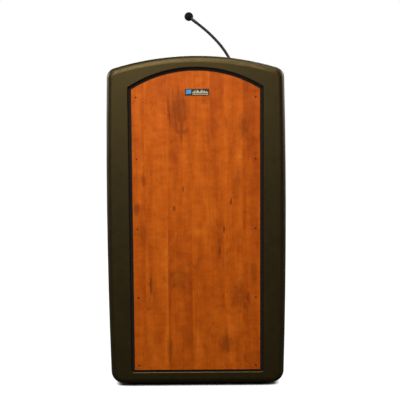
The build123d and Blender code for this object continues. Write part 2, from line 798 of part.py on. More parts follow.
def make_caster_fork(x, y, with_pivot):
    top = plate_top - dish_top
    dish = rod((x, y, top - dish_thickness), (x, y, top), dish_radius)
    inner = wheel_width / 2 + fork_gap
    ear = Pos(x, y, 0) * from_side(fork_ear_face(with_pivot), inner, inner + fork_ear)
    other = Pos(x, y, 0) * from_side(fork_ear_face(with_pivot), -inner - fork_ear, -inner)
    fork = dish + ear + other
    return fork - rod((x, y, top - dish_thickness - 1), (x, y, top + 1), kingpin_radius + running_clearance)


def make_caster_axle(x, y):
    reach = wheel_width / 2 + fork_gap + fork_ear
    centre = y + trail
    pin = rod((x - reach, centre, wheel_radius), (x + reach, centre, wheel_radius), axle_radius)
    for side in (-1, 1):
        start, end = x + side * reach, x + side * (reach + axle_head)
        pin += rod((start, centre, wheel_radius), (end, centre, wheel_radius), axle_radius + axle_head_reach)
    return pin


def wheel_ring(x, y, outer, inner, width):
    centre = y + trail
    ring = rod((x - width / 2, centre, wheel_radius), (x + width / 2, centre, wheel_radius), outer)
    return ring - rod((x - width, centre, wheel_radius), (x + width, centre, wheel_radius), inner)


def make_caster_wheel(x, y):
    """Wheel centre with a boss, a thinner web and the seat of its tyre."""
    rim = wheel_radius - tyre_thickness
    wheel = wheel_ring(x, y, rim, axle_radius + running_clearance, wheel_width - 2)
    groove = wheel_ring(x, y, rim - hub_wall, axle_radius + hub_wall, wheel_width)
    groove -= wheel_ring(x, y, rim, 1, web_width)
    return wheel - groove


def make_caster_tyre(x, y):
    tyre = wheel_ring(x, y, wheel_radius, wheel_radius - tyre_thickness, wheel_width)
    treads = [e for e in tyre.edges().filter_by(GeomType.CIRCLE) if e.radius > wheel_radius - 1]
    return fillet(treads, tread_round)


def make_brake_pedal(x, y):
    """Foot pedal between the fork's ears; its shoe stops just off the tyre."""
    back, up = pedal_pivot()
    half = wheel_width / 2 + fork_gap - 0.5
    pin_half = half + fork_ear
    hub = Circle(pedal_hub)
    aim = radians(180 + pedal_pivot_angle + pedal_travel)
    shoe_tip = pedal_pivot_radius - wheel_radius - brake_gap
    shoe_reach = shoe_tip - shoe_radius
    shoe = Pos(shoe_reach * cos(aim), shoe_reach * sin(aim)) * Circle(shoe_radius)
    pad = Pos(pedal_reach / 2, pedal_hub - pedal_thickness / 2) * Rectangle(pedal_reach, pedal_thickness)
    side = from_side(hub + shoe + Rot(0, 0, -pedal_slope) * pad, -half, half)
    pin = rod((-pin_half, 0, 0), (pin_half, 0, 0), pedal_pin - running_clearance)
    return Pos(x, y + back, up) * (side + pin)


# ---- microphone ------------------------------------------------------------------------
def neck_points():
    """Control points of the neck's curve. It starts on the stem and runs on past the microphone."""
    foot = on_desk(mic_x, mic_down_slope, board_top)
    up = desk_plane.z_dir
    start = foot + up * stem_length
    return [start, start + up * neck_rise, foot + Vector(*neck_middle), foot + Vector(*neck_end)]


def neck_at(share):
    """A point of the neck's curve, by repeated halving between its control points."""
    points = neck_points()
    while len(points) > 1:
        points = [a * (1 - share) + b * share for a, b in zip(points, points[1:])]
    return points[0]


def neck_pivots():
    """Joint centres at equal steps along the neck, and last the front of the capsule's housing."""
    steps = 400
    places = [neck_at(step / steps) for step in range(steps + 1)]
    wanted = [first_joint + joint_pitch * number for number in range(joint_count + 1)]
    pivots, run = [], 0.0
    for a, b in zip(places, places[1:]):
        length = (b - a).length
        while len(pivots) < len(wanted) and run + length >= wanted[len(pivots)]:
            pivots.append(a + (b - a) * ((wanted[len(pivots)] - run) / length))
        run += length
    return pivots


def neck_axes():
    """Joint axes: they alternate between sideways and fore-and-aft bending."""
    pivots = neck_pivots()
    before = neck_points()[0]
    axes = []
    for number in range(joint_count):
        along = (pivots[number + 1] - before).normalized()
        across = (Vector(1, 0, 0) - along * along.X).normalized()
        axes.append(along.cross(across) if number % 2 == 0 else across)
        before = pivots[number]
    return axes


def knuckle(centre, axis, radius):
    """The round that two neighbouring links share, about their joint's axis."""
    reach = axis * (2 * neck_radius)
    return rod(centre - reach, centre + reach, radius)


def rounded_end(start, end, axis, radius):
    """A bar whose far end is rounded about the joint there."""
    along = (end - start).normalized()
    bar = rod(start, end, radius)
    tip = rod(end - along, end + along * knuckle_radius * 1.2, radius)
    return bar + (tip & knuckle(end, axis, knuckle_radius))


def make_neck_stem():
    foot = on_desk(mic_x, mic_down_slope, board_top)
    up = desk_plane.z_dir
    step = foot + up * (stem_length - stem_step)
    shank = rod(foot - up * stem_below, step + up, stem_radius)
    return shank + rounded_end(step, neck_pivots()[0], neck_axes()[0], neck_radius)


def make_neck_link(number):
    """One link: hollowed where the joint below rounds into it, rounded at the joint above."""
    pivots, axes = neck_pivots(), neck_axes()
    if number < joint_count - 1:
        link = rounded_end(pivots[number], pivots[number + 1], axes[number + 1], neck_radius)
    else:
        link = rod(pivots[number], pivots[number + 1], neck_radius)
    return link - knuckle(pivots[number], axes[number], knuckle_radius + knuckle_gap)


def capsule_line():
    pivots = neck_pivots()
    along = (pivots[-1] - pivots[-2]).normalized()
    return pivots[-1], along


def make_mic_capsule():
    start, along = capsule_line()
    body = rod(start, start + along * capsule_length, capsule_radius)
    return chamfer(body.faces().sort_by(Axis((0, 0, 0), tuple(along)))[-1].edges(), edge_break)


def make_windscreen():
    start, along = capsule_line()
    tip = start + along * capsule_length
    centre = tip + along * (windscreen_radius - windscreen_overlap)
    ball = Pos(*centre) * Sphere(windscreen_radius)
    pocket = rod(start, tip, capsule_radius)
    return ball - pocket


def make_mic_flange():
    """Metal flange let into the desk board flush with it, with a raised collar."""
    spot = (mic_x, mic_down_slope)
    low = board_top - flange_thickness
    disc = desk_bore(spot, low, board_top, flange_radius)
    collar = desk_bore(spot, low + 1, board_top + collar_height, collar_radius)
    top = collar.faces().sort_by(Axis((0, 0, 0), tuple(desk_plane.z_dir)))[-1]
    collar = chamfer(top.edges(), edge_break)
    flange = disc + collar - desk_bore(spot, low - 1, board_top + collar_height + 1, isolator_radius)
    for spot in flange_screw_places():
        flange -= desk_bore(spot, low - 1, board_top + 1, flange_screw_radius + hole_clearance)
    return flange


def flange_screw_places():
    return [(mic_x + flange_screw_circle * cos(radians(angle)),
             mic_down_slope + flange_screw_circle * sin(radians(angle))) for angle in (90, 210, 330)]


def make_flange_screws():
    down = desk_plane.z_dir * -1
    return [pan_screw(on_desk(*spot, board_top), down, flange_screw_radius,
                      flange_thickness + flange_screw_bite, flange_screw_head_radius,
                      flange_screw_head_height) for spot in flange_screw_places()]


def make_mic_isolator():
    """Rubber bush that carries the stem through the desk and out of its vibration."""
    spot = (mic_x, mic_down_slope)
    top = board_top + collar_height + bush_stand
    bush = desk_bore(spot, board_bottom, top, isolator_radius)
    return bush - desk_bore(spot, board_bottom - 1, top + 1, stem_radius)


# ---- microphone lead and output box -------------------------------------------------------
def lead_line():
    """Axis of the lead where it is clipped to the bay's front wall."""
    return bay_front + lead_stand


def box_top():
    return floor_top + box_bottom + box_height


def make_mic_lead():
    """The lead from the stem's foot, over to the wall and down it to the output box."""
    foot = on_desk(mic_x, mic_down_slope, board_top) - desk_plane.z_dir * stem_below
    down = desk_plane.z_dir * -1
    wall = lead_line()
    inside_box = box_top() - box_wall - 4
    route = [foot, foot + down * 34, Vector(mic_x, wall + 22, foot.Z - 70),
             Vector(mic_x, wall + 4, foot.Z - 112), Vector(mic_x, wall, foot.Z - 160),
             Vector(mic_x, wall, inside_box)]
    corners = []
    for before, at, after in zip(route, route[1:], route[2:]):
        turn = (at - before).get_angle(after - at)
        shorter = min((at - before).length, (after - at).length)
        corners.append(0.45 * shorter / tan(radians(turn / 2)))
    path = FilletPolyline(*route, radius=corners)
    return sweep(Plane(origin=foot, z_dir=down) * Circle(lead_radius), path=path)


def small_screw(x, y, z, length):
    """A small screw driven forwards from inside the bay."""
    return pan_screw((x, y, z), (0, -1, 0), small_screw_radius, length, small_screw_head_radius,
                     small_screw_head_height)


def clip_heights():
    """Evenly spaced down the wall, except that one beside the shelf moves under it."""
    low = box_top() + clip_margin
    high = on_desk(mic_x, mic_down_slope, board_top - stem_below).Z - clip_top_drop
    places = [low + (high - low) * step / (clip_count - 1) for step in range(clip_count)]
    return [z if z < shelf_bottom - 20 or z > shelf_top + 12 else shelf_bottom - 24 for z in places]


def clip_screw_x():
    return mic_x + lead_radius + clip_screw_stand


def make_lead_clips():
    clips = []
    half = lead_radius + clip_wall
    foot_end = clip_screw_x() + clip_height / 2
    foot_top = bay_front + clip_foot_thickness
    for z in clip_heights():
        low, high = z - clip_height / 2, z + clip_height / 2
        clip = block(mic_x - half, mic_x + half, bay_front, lead_line() + half, low, high)
        clip += block(mic_x, foot_end, bay_front, foot_top, low, high)
        clip -= rod((mic_x, lead_line(), low - 1), (mic_x, lead_line(), high + 1), lead_radius)
        clips.append(clip - rod((clip_screw_x(), bay_front - 1, z), (clip_screw_x(), foot_top + 1, z),
                                small_screw_radius + hole_clearance))
    return clips


def make_clip_screws():
    return [small_screw(clip_screw_x(), bay_front + clip_foot_thickness, z, wall_screw_length)
            for z in clip_heights()]


def box_screw_places():
    """Screws that hold the output box to the wall, inside its corners."""
    low = floor_top + box_bottom
    across, up = box_width / 2 - wall_screw_inset, box_height / 2 - wall_screw_inset
    return [(mic_x + side * across, low + box_height / 2 + side * up) for side in (-1, 1)]


def plate_screw_places():
    low = floor_top + box_bottom
    across, up = box_width / 2 - plate_screw_inset, box_height / 2 - plate_screw_inset
    return [(mic_x + sx * across, low + box_height / 2 + sz * up) for sx in (-1, 1) for sz in (-1, 1)]


def make_output_box():
    low = floor_top + box_bottom
    box_front = bay_front + box_depth
    half = box_width / 2
    case = block(mic_x - half, mic_x + half, bay_front, box_front, low, low + box_height)
    sides = [e for e in case.edges() if abs(e.bounding_box().size.Y - box_depth) < near]
    case = fillet(sides, plate_corner_round)
    case -= block(mic_x - half + box_wall, mic_x + half - box_wall, bay_front + box_wall, box_front + 1,
                  low + box_wall, low + box_height - box_wall)
    for x, z in plate_screw_places():
        case += rod((x, bay_front + 1, z), (x, box_front, z), post_radius)
        case -= rod((x, box_front - plate_screw_length, z), (x, box_front + 1, z),
                    small_screw_radius + thread_clearance)
    for x, z in box_screw_places():
        case -= rod((x, bay_front - 1, z), (x, bay_front + box_wall + 1, z),
                    small_screw_radius + hole_clearance)
    return case - rod((mic_x, lead_line(), box_top() - 2 * box_wall), (mic_x, lead_line(), box_top() + 1),
                      lead_radius)


def socket_place():
    return mic_x, floor_top + box_bottom + box_height / 2


def make_output_plate():
    low = floor_top + box_bottom
    box_front = bay_front + box_depth
    face = Pos(mic_x, low + box_height / 2) * RectangleRounded(box_width, box_height, plate_corner_round)
    plate = from_front(face, box_front, box_front + plate_gauge)
    x, z = socket_place()
    outer = box_front + plate_gauge
    plate -= rod((x, box_front - 1, z), (x, outer + 1, z), socket_radius)
    for x, z in plate_screw_places():
        plate -= rod((x, box_front - 1, z), (x, outer + 1, z), small_screw_radius + hole_clearance)
    return plate


def make_output_socket():
    """Three-pin male chassis connector with its square flange and open barrel."""
    x, z = socket_place()
    outer = bay_front + box_depth + plate_gauge
    mouth = outer + socket_flange_gauge
    inside = outer - socket_depth + socket_floor
    socket = rod((x, outer - socket_depth, z), (x, mouth, z), socket_radius)
    socket += from_front(Pos(x, z) * RectangleRounded(*socket_flange, plate_corner_round), outer, mouth)
    socket -= rod((x, inside, z), (x, mouth + 1, z), socket_radius - socket_wall)
    for angle in (90, 210, 330):
        px, pz = x + pin_circle * cos(radians(angle)), z + pin_circle * sin(radians(angle))
        socket += rod((px, inside - 1, pz), (px, outer - pin_setback, pz), pin_radius)
    return socket


def make_output_screws():
    outer = bay_front + box_depth + plate_gauge
    inner = bay_front + box_wall
    screws = [small_screw(x, outer, z, plate_screw_length) for x, z in plate_screw_places()]
    return screws + [small_screw(x, inner, z, wall_screw_length) for x, z in box_screw_places()]


# ---- every named piece --------------------------------------------------------------------
def make_pieces():
    pieces = {
        "shell": [make_shell()],
        "front_panel": [make_front_panel()],
        "panel_seal": [make_panel_seal()],
        "panel_screws": make_panel_screws(),
        "panel_inserts": make_panel_inserts(),
        "badge_plate": [make_badge_plate()],
        "badge_adhesive": [make_badge_adhesive()],
        "desk_board": [make_desk_board()],
        "desk_edge_band": [make_desk_edge_band()],
        "desk_screws": make_desk_screws(),
        "shelf_board": [make_shelf_board()],
        "shelf_edge_band": make_shelf_edge_band(),
        "shelf_cleats": make_shelf_cleats(),
        "shelf_screws": make_shelf_screws(),
        "cleat_screws": make_cleat_screws(),
        "caster_board": [make_caster_board()],
        "board_screws": make_board_screws(),
        "caster_bolts": make_caster_bolts(),
        "caster_nuts": make_caster_nuts(),
        "mic_flange": [make_mic_flange()],
        "mic_flange_screws": make_flange_screws(),
        "mic_isolator": [make_mic_isolator()],
        "neck_stem": [make_neck_stem()],
        "mic_capsule": [make_mic_capsule()],
        "windscreen": [make_windscreen()],
        "mic_lead": [make_mic_lead()],
        "lead_clips": make_lead_clips(),
        "clip_screws": make_clip_screws(),
        "output_box": [make_output_box()],
        "output_plate": [make_output_plate()],
        "output_socket": [make_output_socket()],
        "output_screws": make_output_screws(),
    }
    for number in range(joint_count):
        pieces[f"neck_link_{number + 1}"] = [make_neck_link(number)]
    for corner, (x, y) in swivels.items():
        pieces[f"caster_plate_{corner}"] = [make_caster_plate(x, y)]
        pieces[f"caster_fork_{corner}"] = [make_caster_fork(x, y, corner in braked)]
        pieces[f"caster_axle_{corner}"] = [make_caster_axle(x, y)]
        pieces[f"caster_wheel_{corner}"] = [make_caster_wheel(x, y)]
        pieces[f"caster_tyre_{corner}"] = [make_caster_tyre(x, y)]
        if corner in braked:
            pieces[f"brake_pedal_{corner}"] = [make_brake_pedal(x, y)]
    return pieces


os.makedirs("parts", exist_ok=True)
for name, solids in make_pieces().items():
    export_step(grouped(name, solids), f"parts/{name}.step")
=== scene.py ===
import json
import math

import bmesh
import bpy
from mathutils import Matrix, Vector, noise


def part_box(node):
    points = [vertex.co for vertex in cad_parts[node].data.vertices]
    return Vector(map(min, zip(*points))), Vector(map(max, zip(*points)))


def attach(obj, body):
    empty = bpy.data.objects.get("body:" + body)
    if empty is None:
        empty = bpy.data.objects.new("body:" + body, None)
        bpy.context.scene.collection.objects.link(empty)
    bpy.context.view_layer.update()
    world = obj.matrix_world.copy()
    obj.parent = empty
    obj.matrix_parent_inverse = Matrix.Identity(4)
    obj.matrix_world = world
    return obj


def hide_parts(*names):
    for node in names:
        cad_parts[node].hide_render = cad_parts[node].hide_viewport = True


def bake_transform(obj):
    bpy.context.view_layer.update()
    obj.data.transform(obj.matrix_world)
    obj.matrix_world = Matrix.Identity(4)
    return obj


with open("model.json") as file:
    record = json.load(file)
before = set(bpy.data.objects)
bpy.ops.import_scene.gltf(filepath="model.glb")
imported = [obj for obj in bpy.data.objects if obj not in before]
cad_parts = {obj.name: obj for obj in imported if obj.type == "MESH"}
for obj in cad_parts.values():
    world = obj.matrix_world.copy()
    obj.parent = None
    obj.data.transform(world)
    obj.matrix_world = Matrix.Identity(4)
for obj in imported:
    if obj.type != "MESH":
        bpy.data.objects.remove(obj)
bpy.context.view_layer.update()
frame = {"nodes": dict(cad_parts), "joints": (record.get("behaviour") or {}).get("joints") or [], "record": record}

MM = 0.001
TURN = 2 * math.pi
SAME_POINT = 0.01 * MM      # points nearer than this are one point
nodes = frame["nodes"]
joints = {joint["name"]: joint for joint in frame["joints"]}
mounts = {mount["name"]: mount for mount in frame["record"]["mounts"]}


# ---- small helpers -----------------------------------------------------------------
def colour(hex_code):
    """An sRGB hex value as the linear colour that the shaders take."""
    channels = [int(hex_code[i:i + 2], 16) / 255 for i in (1, 3, 5)]
    linear = [c / 12.92 if c <= 0.04045 else ((c + 0.055) / 1.055) ** 2.4 for c in channels]
    return (*linear, 1)


def grey(level):
    """A linear grey."""
    return (level, level, level, 1)


def per(*sizes):
    """Turns per metre for feature sizes in millimetres: one number, or one for each axis."""
    turns = [1 / (size * MM) for size in sizes]
    return turns[0] if len(turns) == 1 else turns


def feed(tree, node, inputs):
    """Gives a node's sockets their values and links."""
    for key, value in inputs.items():
        if isinstance(value, bpy.types.NodeSocket):
            tree.links.new(value, node.inputs[key])
        else:
            node.inputs[key].default_value = value


def add(tree, kind, inputs=(), out=0, stops=(), **settings):
    """Adds one shader node with its settings, colour stops, values and links, and gives one output."""
    node = tree.nodes.new("ShaderNode" + kind)
    for key, value in settings.items():
        setattr(node, key, value)
    for number, (position, shade) in enumerate(stops):
        elements = node.color_ramp.elements
        stop = elements[number] if number < 2 else elements.new(position)
        stop.position, stop.color = position, shade
    feed(tree, node, dict(inputs))
    return node.outputs[out]


def finish_of(name, **values):
    """A material with its node tree, its Principled shader and the place on the piece at rest, in metres."""
    material = bpy.data.materials.new(name)
    material.use_nodes = True
    tree = material.node_tree
    shader = tree.nodes["Principled BSDF"]
    feed(tree, shader, {key.replace("_", " "): value for key, value in values.items()})
    return material, tree, shader, add(tree, "TexCoord", out="Object")


# ---- finishes ------------------------------------------------------------------------
def moulded_polyethylene():
    """Rotomoulded polyethylene, dark brown: a dull warm sheen over fine leather grain, a few paler
    scuffs, and long shallow waves where the wall cooled unevenly."""
    material, tree, shader, place = finish_of(
        "rotomoulded polyethylene", IOR=1.51, Specular_IOR_Level=0.7, Specular_Tint=colour("#ecd595"))
    tone = add(tree, "TexNoise", {"Vector": place, "Scale": per(140), "Detail": 3, "Roughness": 0.6})
    base = add(tree, "ValToRGB", {"Fac": tone}, stops=[(0.3, colour("#151107")), (0.7, colour("#1b160a"))])
    scuff = add(tree, "TexNoise", {"Vector": place, "Scale": per(9), "Detail": 4, "Roughness": 0.7})
    scuff = add(tree, "MapRange", {"Value": scuff, "From Min": 0.62, "From Max": 0.8, "To Max": 0.3})
    base = add(tree, "Mix", {0: scuff, 6: base, 7: colour("#2c2412")}, out=2, data_type="RGBA")
    cloudy = add(tree, "TexNoise", {"Vector": place, "Scale": per(24), "Detail": 3})
    rough = add(tree, "MapRange", {
        "Value": cloudy, "From Min": 0.3, "From Max": 0.7, "To Min": 0.41, "To Max": 0.49})
    waves = add(tree, "TexNoise", {"Vector": place, "Scale": per(110), "Detail": 1})
    wavy = add(tree, "Bump", {"Height": waves, "Distance": 0.9 * MM})
    grain = add(tree, "TexVoronoi", {"Vector": place, "Scale": per(1.7), "Smoothness": 0.6},
                feature="SMOOTH_F1")
    grainy = add(tree, "Bump", {"Height": grain, "Distance": 0.10 * MM, "Normal": wavy})
    feed(tree, shader, {"Base Color": base, "Roughness": rough, "Normal": grainy})
    return material


PLANKS = (                  # printed planks: left edge in mm and tone of each
    (-400, 0.51), (-286, 0.47), (-228, 0.50), (-186, 0.55), (-105, 0.46), (-18, 0.51), (50, 0.49),
    (98, 0.53), (165, 0.45), (300, 0.51))
PLANK_SPAN = 800.0          # millimetres that the plank ramp covers
PANEL_SMOKE = (             # smoky patches on the front panel: middle, half width, half height, share
    (-58, 1010, 34, 70, 0.40), (-52, 925, 7, 56, 0.60), (166, 944, 24, 46, 0.45), (150, 760, 14, 60, 0.35),
    (-189, 755, 9, 30, 0.45), (-214, 650, 14, 30, 0.50), (-190, 560, 20, 60, 0.30), (-47, 723, 5, 14, 0.60),
    (-81, 654, 7, 12, 0.65), (124, 677, 4, 13, 0.80), (99, 577, 4, 15, 0.80), (84, 500, 6, 32, 0.60),
    (-167, 372, 6, 52, 0.65), (-65, 394, 38, 50, 0.30), (150, 335, 32, 60, 0.42), (186, 328, 8, 28, 0.50),
    (104, 158, 32, 46, 0.50), (-98, 128, 13, 64, 0.42), (-30, 160, 20, 40, 0.25), (205, 420, 13, 60, 0.35))
PANEL_ARCHES = (            # arches on the front panel: their centre, then a patch as above
    (30, 1060, -66, 1010, 54, 96, 0.55), (-50, 1060, -52, 950, 34, 66, 0.50),
    (-65, 290, -65, 394, 46, 66, 0.45), (150, 230, 150, 320, 40, 66, 0.35))
ARCH_PITCH = 9.0            # millimetres from one arch to the next
ARCH_HEIGHT = 2.4           # how many times taller than wide the arches are


def cherry_laminate(name, order, smoke_patches=(), arch_patches=()):
    """Decorative laminate pressed with a wild cherry print: a satin face, planks side by side, long
    fine grain, arches, short dark flecks and smoky patches. The order names the axes across, out of
    and along the grain."""
    material, tree, shader, place = finish_of(name, IOR=1.5, Specular_IOR_Level=0.14)
    across, out, along = [add(tree, "SeparateXYZ", {"Vector": place}, out=axis) for axis in order]

    def reach(x, z, wide, tall):
        """Distance from a point of the print, as a share of a half width and a half height."""
        sideways = add(tree, "Math", {0: across, 1: per(wide), 2: -x / wide}, operation="MULTIPLY_ADD")
        upward = add(tree, "Math", {0: along, 1: per(tall), 2: -z / tall}, operation="MULTIPLY_ADD")
        step = add(tree, "CombineXYZ", {"X": sideways, "Y": upward})
        return add(tree, "VectorMath", {0: step}, out="Value", operation="LENGTH")

    share = add(tree, "Math", {0: across, 1: per(PLANK_SPAN), 2: 0.5}, operation="MULTIPLY_ADD")
    plank = add(tree, "ValToRGB", {"Fac": share}, stops=[
        ((edge + PLANK_SPAN / 2) / PLANK_SPAN, grey(tone)) for edge, tone in PLANKS])
    plank.node.color_ramp.interpolation = "CONSTANT"
    shifted = add(tree, "Math", {0: plank, 1: 7.3, 2: along}, operation="MULTIPLY_ADD")
    grain = add(tree, "CombineXYZ", {"X": across, "Y": out, "Z": shifted})

    broad = add(tree, "Mapping", {"Vector": grain, "Scale": per(30, 30, 330)})
    bands = add(tree, "TexNoise", {"Vector": broad, "Scale": 1, "Detail": 3, "Roughness": 0.5,
                                   "Distortion": 0.5})
    fine = add(tree, "Mapping", {"Vector": grain, "Scale": per(3.4, 3.4, 190)})
    lines = add(tree, "TexNoise", {"Vector": fine, "Scale": 1, "Detail": 3, "Roughness": 0.6})
    squat = add(tree, "Mapping", {"Vector": grain, "Scale": per(30, 30, 13)})
    mottle = add(tree, "TexNoise", {"Vector": squat, "Scale": 1, "Detail": 3, "Distortion": 0.4})
    billow = add(tree, "Mapping", {"Vector": grain, "Scale": per(75, 75, 110)})
    blots = add(tree, "TexNoise", {"Vector": billow, "Scale": 1, "Detail": 5, "Roughness": 0.62,
                                   "Distortion": 1.0})
    parts = add(tree, "CombineXYZ", {"X": bands, "Y": lines, "Z": mottle})
    tone = add(tree, "VectorMath", {0: parts, 1: (0.75, 0.32, 0.42)}, out="Value", operation="DOT_PRODUCT")
    tone = add(tree, "Math", {0: blots, 1: 0.9, 2: tone}, operation="MULTIPLY_ADD")
    tone = add(tree, "Math", {0: plank, 1: 1.6, 2: tone}, operation="MULTIPLY_ADD")
    tone = add(tree, "Math", {0: tone, 1: 1.47}, operation="SUBTRACT")
    base = add(tree, "ValToRGB", {"Fac": tone}, stops=[
        (0.0, colour("#8a3605")), (1.0, colour("#d87a28")), (0.30, colour("#a74a09")),
        (0.52, colour("#ba570c")), (0.75, colour("#ca6415"))])

    cloudy = add(tree, "Mapping", {"Vector": grain, "Scale": per(42, 42, 80)})
    smoke = add(tree, "TexNoise", {"Vector": cloudy, "Scale": 1, "Detail": 4, "Roughness": 0.65,
                                   "Distortion": 0.8})
    smoke = add(tree, "MapRange", {"Value": smoke, "From Min": 0.54, "From Max": 0.80, "To Max": 0.40},
                interpolation_type="SMOOTHSTEP")
    wispy = add(tree, "Mapping", {"Vector": grain, "Scale": per(10, 10, 42)})
    wisps = add(tree, "TexNoise", {"Vector": wispy, "Scale": 1, "Detail": 4, "Roughness": 0.7,
                                   "Distortion": 1.2})
    ragged = add(tree, "Math", {0: wisps, 1: -1.8, 2: 0.9}, operation="MULTIPLY_ADD")
    for x, z, wide, tall, most in smoke_patches:
        edge = add(tree, "Math", {0: reach(x, z, wide, tall), 1: ragged}, operation="ADD")
        patch = add(tree, "MapRange", {"Value": edge, "From Min": 1.15, "From Max": 0.3, "To Max": most},
                    interpolation_type="SMOOTHSTEP")
        smoke = add(tree, "Math", {0: smoke, 1: patch}, operation="MAXIMUM")
    for middle_x, middle_z, x, z, wide, tall, most in arch_patches:
        rings = reach(middle_x, middle_z, ARCH_PITCH, ARCH_PITCH * ARCH_HEIGHT)
        rings = add(tree, "Math", {0: wisps, 1: 1.6, 2: rings}, operation="MULTIPLY_ADD")
        rings = add(tree, "Math", {0: rings, 1: 1.0}, operation="PINGPONG")
        rings = add(tree, "MapRange", {"Value": rings, "From Min": 0.35, "From Max": 1.0, "To Max": most},
                    interpolation_type="SMOOTHSTEP")
        inside = add(tree, "MapRange", {"Value": reach(x, z, wide, tall), "From Min": 1.0, "From Max": 0.5},
                     interpolation_type="SMOOTHSTEP")
        patch = add(tree, "Math", {0: rings, 1: inside}, operation="MULTIPLY")
        smoke = add(tree, "Math", {0: smoke, 1: patch}, operation="MAXIMUM")
    base = add(tree, "Mix", {0: smoke, 6: base, 7: colour("#5a2506")}, out=2, data_type="RGBA")

    short = add(tree, "Mapping", {"Vector": grain, "Scale": per(3.6, 3.6, 24)})
    flecks = add(tree, "TexNoise", {"Vector": short, "Scale": 1, "Distortion": 0.3})
    flecks = add(tree, "MapRange", {"Value": flecks, "From Min": 0.66, "From Max": 0.76})
    sparse = add(tree, "Mapping", {"Vector": grain, "Scale": per(60, 60, 120)})
    where = add(tree, "TexNoise", {"Vector": sparse, "Scale": 1, "Detail": 1})
    where = add(tree, "MapRange", {"Value": where, "From Min": 0.5, "From Max": 0.62, "To Max": 0.6})
    flecks = add(tree, "Math", {0: flecks, 1: where}, operation="MULTIPLY")
    base = add(tree, "Mix", {0: flecks, 6: base, 7: colour("#5c270c")}, out=2, data_type="RGBA")

    rough = add(tree, "MapRange", {
        "Value": lines, "From Min": 0.3, "From Max": 0.7, "To Min": 0.46, "To Max": 0.38})
    porous = add(tree, "Mapping", {"Vector": grain, "Scale": per(0.9, 0.9, 14)})
    pores = add(tree, "TexNoise", {"Vector": porous, "Scale": 1, "Detail": 2})
    pitted = add(tree, "Bump", {"Height": pores, "Distance": 0.03 * MM})
    feed(tree, shader, {"Base Color": base, "Roughness": rough, "Normal": pitted})
    return material


def birch_plywood():
    """Sanded birch plywood: pale, with soft brown grain and its thin plies as stripes on the edges."""
    material, tree, shader, place = finish_of(
        "sanded birch plywood", IOR=1.45, Specular_IOR_Level=0.3, Roughness=0.7)
    long = add(tree, "Mapping", {"Vector": place, "Scale": per(60, 4, 5)})
    grain = add(tree, "TexNoise", {"Vector": long, "Scale": 1, "Detail": 4, "Roughness": 0.6,
                                   "Distortion": 0.8})
    base = add(tree, "ValToRGB", {"Fac": grain}, stops=[(0.3, colour("#b08a5a")), (0.7, colour("#cfae7e"))])
    layered = add(tree, "Mapping", {"Vector": place, "Scale": per(500, 500, 1.6)})
    plies = add(tree, "TexNoise", {"Vector": layered, "Scale": 1, "Detail": 0})
    plies = add(tree, "MapRange", {"Value": plies, "From Min": 0.5, "From Max": 0.6, "To Max": 0.35})
    base = add(tree, "Mix", {0: plies, 6: base, 7: colour("#7d5c38")}, out=2, data_type="RGBA")
    fibres = add(tree, "Bump", {"Height": grain, "Distance": 0.05 * MM})
    feed(tree, shader, {"Base Color": base, "Normal": fibres})
    return material


def moulded_plastic(name, base, lighter, rough, grain_mm=0.8, grain_depth=0.03):
    """Injection-moulded plastic with a spark-eroded surface: a fine even grain and a soft sheen."""
    material, tree, shader, place = finish_of(name, IOR=1.5)
    tone = add(tree, "TexNoise", {"Vector": place, "Scale": per(12), "Detail": 3, "Roughness": 0.6})
    shade = add(tree, "ValToRGB", {"Fac": tone}, stops=[(0.35, colour(base)), (0.7, colour(lighter))])
    dull = add(tree, "MapRange", {"Value": tone, "From Min": 0.3, "From Max": 0.7,
                                  "To Min": rough - 0.05, "To Max": rough + 0.05})
    grain = add(tree, "TexNoise", {"Vector": place, "Scale": per(grain_mm), "Detail": 1})
    sparked = add(tree, "Bump", {"Height": grain, "Distance": grain_depth * MM})
    feed(tree, shader, {"Base Color": shade, "Roughness": dull, "Normal": sparked})
    return material


def plated_metal(name, dark, light, rough):
    """Bare or plated metal: faint rolling or turning lines, a clouded film and bright worn spots."""
    material, tree, shader, place = finish_of(name, Metallic=1.0)
    cloudy = add(tree, "TexNoise", {"Vector": place, "Scale": per(9), "Detail": 4, "Roughness": 0.65})
    shade = add(tree, "ValToRGB", {"Fac": cloudy}, stops=[(0.3, colour(dark)), (0.72, colour(light))])
    drawn = add(tree, "Mapping", {"Vector": place, "Scale": per(6, 6, 0.5)})
    lines = add(tree, "TexNoise", {"Vector": drawn, "Scale": 1, "Detail": 2})
    dull = add(tree, "MapRange", {"Value": lines, "From Min": 0.25, "From Max": 0.75,
                                  "To Min": rough - 0.07, "To Max": rough + 0.09})
    scored = add(tree, "Bump", {"Height": lines, "Distance": 0.012 * MM})
    feed(tree, shader, {"Base Color": shade, "Roughness": dull, "Normal": scored})
    return material


def coated_metal(name, base, lighter, rough, gloss=0.5):
    """Painted, powder-coated or blackened metal: a smooth film with very shallow orange peel, paler
    where hands have worn it."""
    material, tree, shader, place = finish_of(name, IOR=1.5, Specular_IOR_Level=gloss)
    wear = add(tree, "TexNoise", {"Vector": place, "Scale": per(14), "Detail": 4, "Roughness": 0.7})
    shade = add(tree, "ValToRGB", {"Fac": wear}, stops=[(0.4, colour(base)), (0.75, colour(lighter))])
    dull = add(tree, "MapRange", {"Value": wear, "From Min": 0.3, "From Max": 0.7,
                                  "To Min": rough - 0.04, "To Max": rough + 0.08})
    peel = add(tree, "TexNoise", {"Vector": place, "Scale": per(1.6), "Detail": 2})
    peeled = add(tree, "Bump", {"Height": peel, "Distance": 0.02 * MM})
    feed(tree, shader, {"Base Color": shade, "Roughness": dull, "Normal": peeled})
    return material


